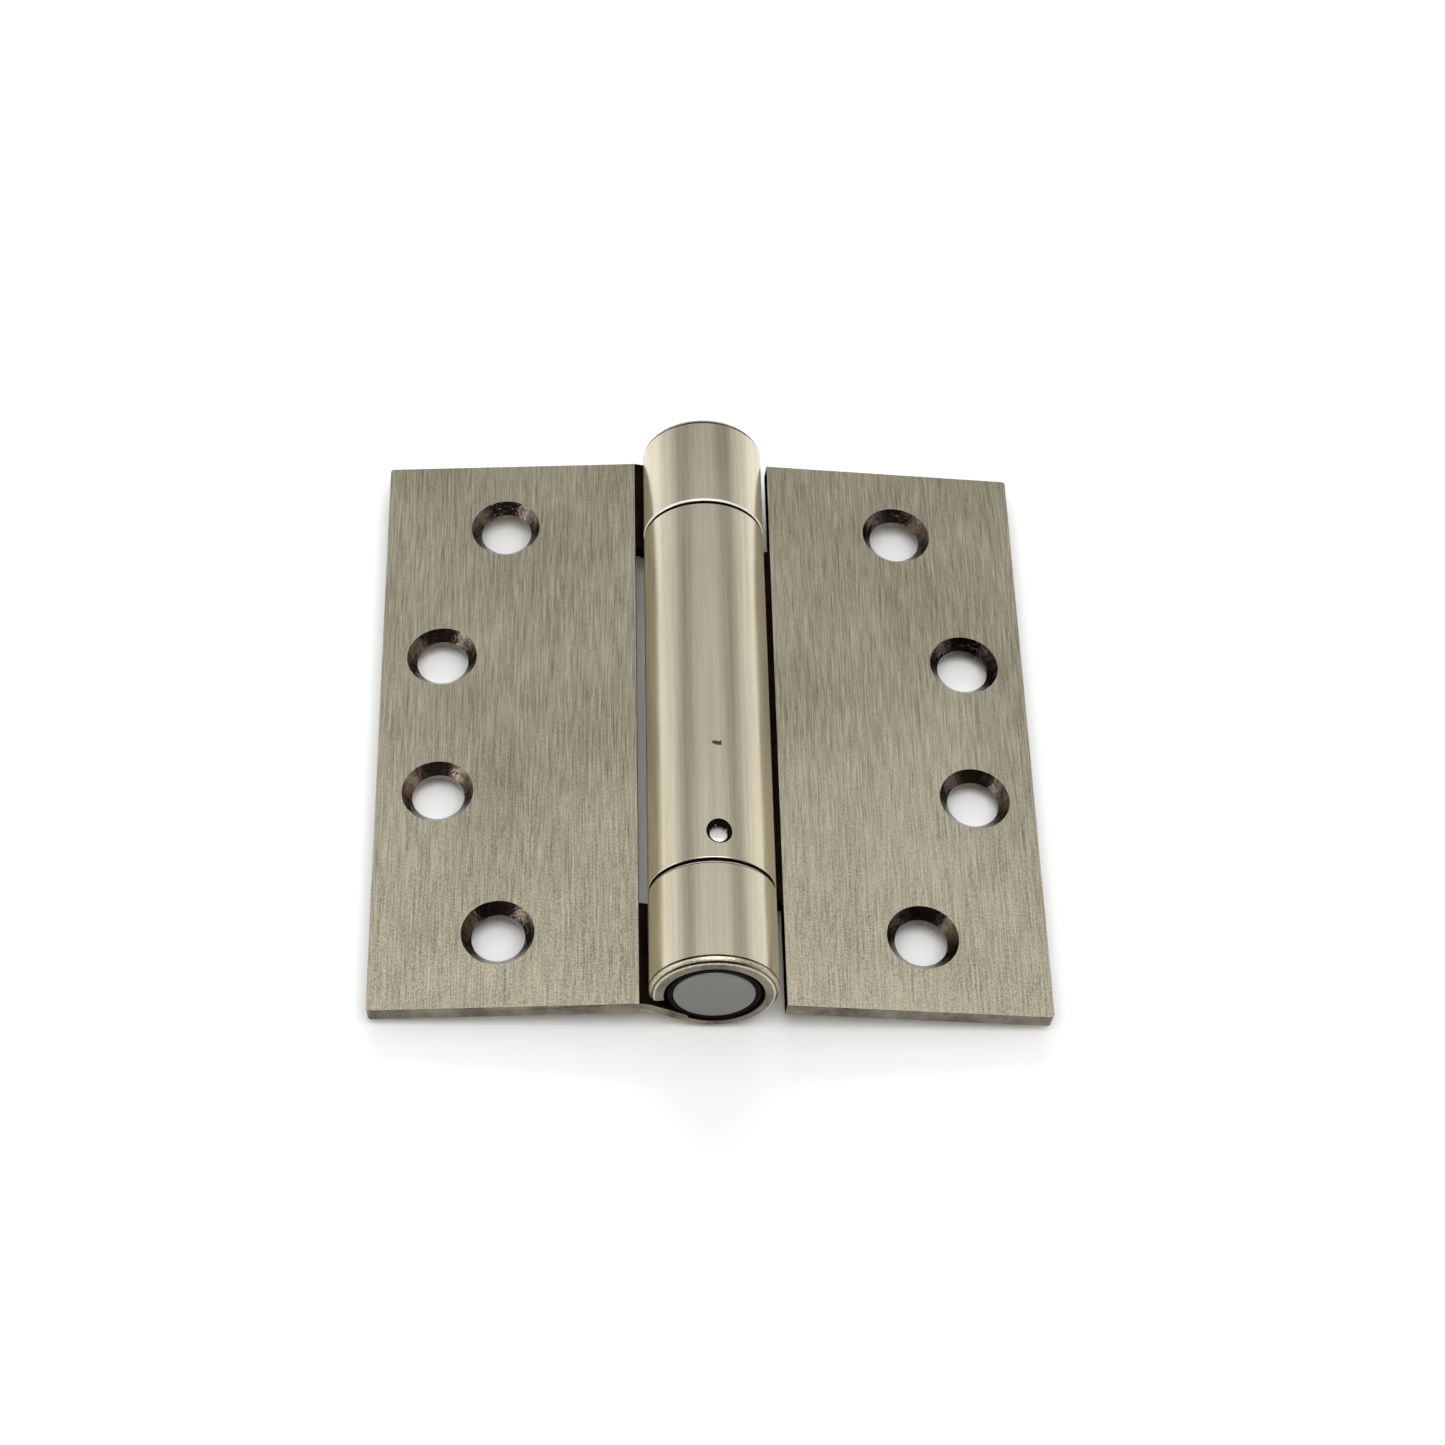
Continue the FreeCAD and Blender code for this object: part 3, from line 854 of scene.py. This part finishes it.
@dataclass
class BarrelWorks:
    """What is inside the barrel: two flanged bushings, the anchor, the adjuster and its cap."""

    sleeve_r: float = BORE_R - 0.9 * MM
    journal_r: float = BORE_R - 0.95 * MM
    plug_r: float = BORE_R - 0.05 * MM
    groove_r: float = BORE_R - 1.95 * MM
    flange_r: float = BARREL_R - 0.35 * MM
    cap_thickness: float = 1.5 * MM
    coil_r: float = 5.3 * MM
    tang_hole_r: float = 1.3 * MM
    lock_hole_r: float = PIN_HOLE_R
    lock_holes: int = 6

    def bushing(self, node: str, body: str, side: Side, end: float, flange: float, top: float) -> BarrelPiece:
        """Sleeve with the flange that fills the joint beside it."""
        r = BORE_R - 0.01 * MM
        profile = [(self.sleeve_r, end), (r, end), (r, flange), (self.flange_r, flange)]
        profile += [(self.flange_r, top), (self.sleeve_r, top)]
        return BarrelPiece(node, body, "bushing_black", side, profile, BLACK_NYLON)

    def anchor_plug(self) -> BarrelPiece:
        """Plug that fixes the spring's far end in the far knuckle."""
        start, shoulder, end = JOINT_V - 10.4 * MM, JOINT_V + 0.6 * MM, HALF_LENGTH - 0.5 * MM
        r, journal, c = BORE_R - 0.01 * MM, self.journal_r, 0.4 * MM
        profile = [(0, start), (journal - c, start), (journal, start + c), (journal, shoulder)]
        profile += [(r, shoulder), (r, end - c), (r - c, end), (1.6 * MM, end)]
        profile += [(0.5 * MM, end - 1.1 * MM), (0, end - 1.1 * MM)]
        foot, mouth = polar(self.coil_r, 0, start - MM), polar(self.coil_r, 0, start + 6.2 * MM)
        tang = (self.tang_hole_r, foot, mouth, 32)
        return BarrelPiece(
            "anchor_plug", "frame_side", "plug_steel", Side.FRAME, profile, TURNED_STEEL, drills=[tang]
        )

    def anchor_pin(self) -> BarrelPiece:
        """Cross pin through the far knuckle; its end shows underneath."""
        r, outer = ANCHOR_HOLE_R, -BARREL_R + 0.15 * MM
        profile = [(0, outer), (r - 0.3 * MM, outer), (r, outer + 0.2 * MM)]
        profile += [(r, outer + 8 * MM), (0, outer + 8 * MM)]
        v = (JOINT_V + HALF_LENGTH) / 2
        return BarrelPiece(
            "anchor_pin", "frame_side", "pin_steel", Side.FRAME, profile, DRAWN_STEEL, v, 0.05 * MM
        )

    def tension_plug(self) -> BarrelPiece:
        """Adjusting plug with its journal, lock-hole groove and hexagon socket."""
        end, top, c = self.cap_thickness + 0.05 * MM - HALF_LENGTH, 13.1 * MM - HALF_CENTRE, 0.4 * MM
        low, high = PIN_HOLE_V - 1.8 * MM, PIN_HOLE_V + 1.8 * MM
        j, p, g = self.journal_r, self.plug_r, self.groove_r
        profile = [(0, end), (j - c, end), (j, end + c), (j, -HALF_CENTRE), (p, -HALF_CENTRE)]
        profile += [(p, low), (g, low), (g, high), (p, high), (p, top - c), (p - c, top), (0, top)]
        socket_r = 2.5 / math.cos(math.pi / 6) * MM  # 5 mm hexagon key
        drills = [(socket_r, Vector((0, end - MM, 0)), Vector((0, end + 9 * MM, 0)), 6)]
        tang_foot, tang_mouth = polar(self.coil_r, 0, top - 6.2 * MM), polar(self.coil_r, 0, top + MM)
        drills.append((self.tang_hole_r, tang_foot, tang_mouth, 32))
        for i in range(self.lock_holes):
            angle = 90 + 360 / self.lock_holes * i
            foot, mouth = polar(g - 2 * MM, angle, PIN_HOLE_V), polar(g + MM, angle, PIN_HOLE_V)
            drills.append((self.lock_hole_r, foot, mouth, 32))
        return BarrelPiece(
            "tension_plug", "adjuster", "plug_steel", Side.DOOR, profile, TURNED_STEEL, drills=drills
        )

    def tension_pin(self) -> BarrelPiece:
        """Pin that waits in the centre knuckle's hole; its domed end shows there."""
        r, tip, top = 1.6 * MM, self.groove_r + 0.1 * MM, BARREL_R - 0.85 * MM
        profile = [(0, tip), (r - 0.25 * MM, tip), (r, tip + 0.25 * MM), (r, top - 0.3 * MM)]
        profile += [(r - 0.05 * MM, top - 0.22 * MM), (r - 0.3 * MM, top - 0.12 * MM)]
        profile += [(0.8 * MM, top - 0.04 * MM), (0.4 * MM, top - 0.01 * MM), (0, top)]
        return BarrelPiece(
            "tension_pin", "lock_pin", "pin_steel", Side.DOOR, profile, DRAWN_STEEL, PIN_HOLE_V, 0.04 * MM
        )

    def socket_cap(self) -> BarrelPiece:
        """Plain cap on the near end, with a stem in the socket."""
        r, outer, inner = self.journal_r, -HALF_LENGTH, self.cap_thickness - HALF_LENGTH
        profile = [(0, outer + 0.08 * MM), (5.9 * MM, outer + 0.05 * MM), (6.3 * MM, outer)]
        profile += [(r - 0.12 * MM, outer + 0.06 * MM), (r, outer + 0.3 * MM), (r, inner), (2.3 * MM, inner)]
        profile += [(2.3 * MM, inner + 5 * MM), (0, inner + 5 * MM)]
        return BarrelPiece(
            "socket_cap", "cap", "cap_grey", Side.DOOR, profile, SATIN_GREY, round_over=0.05 * MM
        )

    def build(self) -> None:
        """Make every piece in the barrel and dress the spring."""
        near_end, near_top = 0.25 * MM - HALF_LENGTH, -HALF_CENTRE - END_PLAY
        far_end, far_top = HALF_CENTRE - 7 * MM, JOINT_V - END_PLAY
        pieces = [
            self.bushing("near_bushing", "frame_side", Side.FRAME, near_end, -JOINT_V, near_top),
            self.bushing("far_bushing", "door_side", Side.DOOR, far_end, HALF_CENTRE, far_top),
            self.anchor_plug(),
            self.anchor_pin(),
            self.tension_plug(),
            self.tension_pin(),
            self.socket_cap(),
        ]
        for piece in pieces:
            piece.build()
        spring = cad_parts["torsion_spring"]
        spring.material_slots[0].material = SPRING_WIRE.material()
        LOG.info("torsion_spring keeps its CAD mesh")


# ---------------------------------------------------------------- studio


@dataclass
class Studio:
    """White sweep, bright low walls, softboxes overhead, behind and to the left, and the camera."""

    lens: float = 79.882
    eye: Point = (-31.517 * MM, -320.75 * MM, 463.852 * MM)
    forward: Point = (0.061403, 0.573428, -0.816951)
    up: Point = (-0.015551, 0.818946, 0.573659)
    boxes: tuple[tuple[str, Point, tuple[float, float], float, bool], ...] = (
        ("top_box", (0.0, -0.42, 1.25), (1.2, 0.9), 11.0, True),
        ("back_box", (0.0, 0.98, 0.72), (0.9, 0.3), 4.5, False),
        ("left_box", (-0.78, -0.32, 0.30), (0.30, 0.30), 0.9, True),
    )

    def floor(self) -> None:
        """Large white floor just under the barrel."""
        deselect()
        bpy.ops.mesh.primitive_plane_add(size=24.0, location=(0, 0, -0.02 * MM))
        floor = active("studio_floor")
        mat = bpy.data.materials.new("white_sweep")
        mat.use_nodes = True
        shader = mat.node_tree.nodes["Principled BSDF"]
        shader.inputs["Base Color"].default_value = (0.93, 0.93, 0.93, 1.0)
        shader.inputs["Roughness"].default_value = 0.9
        shader.inputs["Specular IOR Level"].default_value = 0.1
        floor.data.materials.append(mat)

    def sky(self) -> None:
        """Studio surround, banded by height and dimmed towards +Y and, more, towards -Y."""
        world = bpy.data.worlds.new("studio")
        bpy.context.scene.world = world
        world.use_nodes = True
        tree = world.node_tree
        tree.nodes.clear()
        place = add_node(tree, "ShaderNodeTexCoord").outputs["Generated"]
        split = add_node(tree, "ShaderNodeSeparateXYZ", links={"Vector": place})
        height = add_node(tree, "ShaderNodeValToRGB", links={"Fac": split.outputs["Z"]})
        low = [(0.0, "FCFCFC"), (0.22, "FCFCFC"), (0.38, "E6E6E6"), (0.54, "AAAAAA"), (0.66, "AAAAAA")]
        ramp(height, [*low, (0.78, "E4E4E4"), (0.9, "DEDEDE"), (1.0, "D2D2D2")])
        back = add_node(
            tree,
            "ShaderNodeMapRange",
            values={"From Min": 0.42, "From Max": 0.75, "To Min": 1.0, "To Max": 0.52},
            links={"Value": split.outputs["Y"]},
        )
        front = add_node(
            tree,
            "ShaderNodeMapRange",
            values={"From Min": -0.15, "From Max": -0.6, "To Min": 1.0, "To Max": 0.06},
            links={"Value": split.outputs["Y"]},
        )
        walls = add_node(
            tree,
            "ShaderNodeMath",
            settings={"operation": "MULTIPLY"},
            links={0: back.outputs[0], 1: front.outputs[0]},
        )
        shade = add_node(
            tree,
            "ShaderNodeVectorMath",
            settings={"operation": "SCALE"},
            links={"Vector": height.outputs["Color"], "Scale": walls.outputs[0]},
        )
        ground = add_node(
            tree, "ShaderNodeBackground", values={"Strength": 1.12}, links={"Color": shade.outputs[0]}
        )
        add_node(tree, "ShaderNodeOutputWorld", links={"Surface": ground.outputs[0]})

    def lights(self) -> None:
        """Rectangular softboxes aimed at the hinge; the last value says whether metal mirrors the box."""
        for name, place, size, power, mirrored in self.boxes:
            data = bpy.data.lights.new(name, "AREA")
            data.shape = "RECTANGLE"
            data.size, data.size_y = size[0], size[1]
            data.energy = power
            lamp = bpy.data.objects.new(name, data)
            lamp.visible_glossy = mirrored
            lamp.location = place
            lamp.rotation_euler = (-Vector(place)).to_track_quat("-Z", "Y").to_euler()
            bpy.context.collection.objects.link(lamp)

    def camera(self) -> None:
        """Camera above the near end, looking down along the barrel."""
        data = bpy.data.cameras.new("camera")
        data.sensor_width, data.lens = 36.0, self.lens
        data.clip_start, data.clip_end = 0.01, 20.0
        forward, up = Vector(self.forward).normalized(), Vector(self.up).normalized()
        right = forward.cross(up).normalized()
        up = right.cross(forward)
        turn = Matrix((right, up, -forward)).transposed().to_4x4()
        camera = bpy.data.objects.new("camera", data)
        camera.matrix_world = Matrix.Translation(Vector(self.eye)) @ turn
        bpy.context.collection.objects.link(camera)
        bpy.context.scene.camera = camera

    def build(self) -> None:
        """Set up the floor, the surround, the lights and the camera."""
        bpy.context.scene.view_settings.view_transform = "Standard"
        self.floor()
        self.sky()
        self.lights()
        self.camera()


def main() -> None:
    """Build the studio and the hinge."""
    logging.basicConfig(level=logging.INFO, format="%(name)s: %(message)s")
    Studio().build()
    # slots 2 to 5: painted wall shade, sheared edge with painted shade, painted crevice shade, painted rim
    # highlight
    finishes = (LEAF_PLATE, BARREL_PLATE, WALL_SHADE, SHEARED_EDGE_SHADE, CREVICE_SHADE, RIM_HIGHLIGHT)
    coats = [finish.material() for finish in finishes]
    outer_spans = [(-HALF_LENGTH, -JOINT_V), (JOINT_V, HALF_LENGTH)]
    RolledLeaf("frame_leaf", "frame_side", Side.FRAME, outer_spans).build(coats)
    centre_span = [(-HALF_CENTRE, HALF_CENTRE)]
    RolledLeaf("door_leaf", "door_side", Side.DOOR, centre_span, joint_round=0.2 * MM).build(coats)
    BarrelWorks().build()


if __name__ == "__main__":
    main()
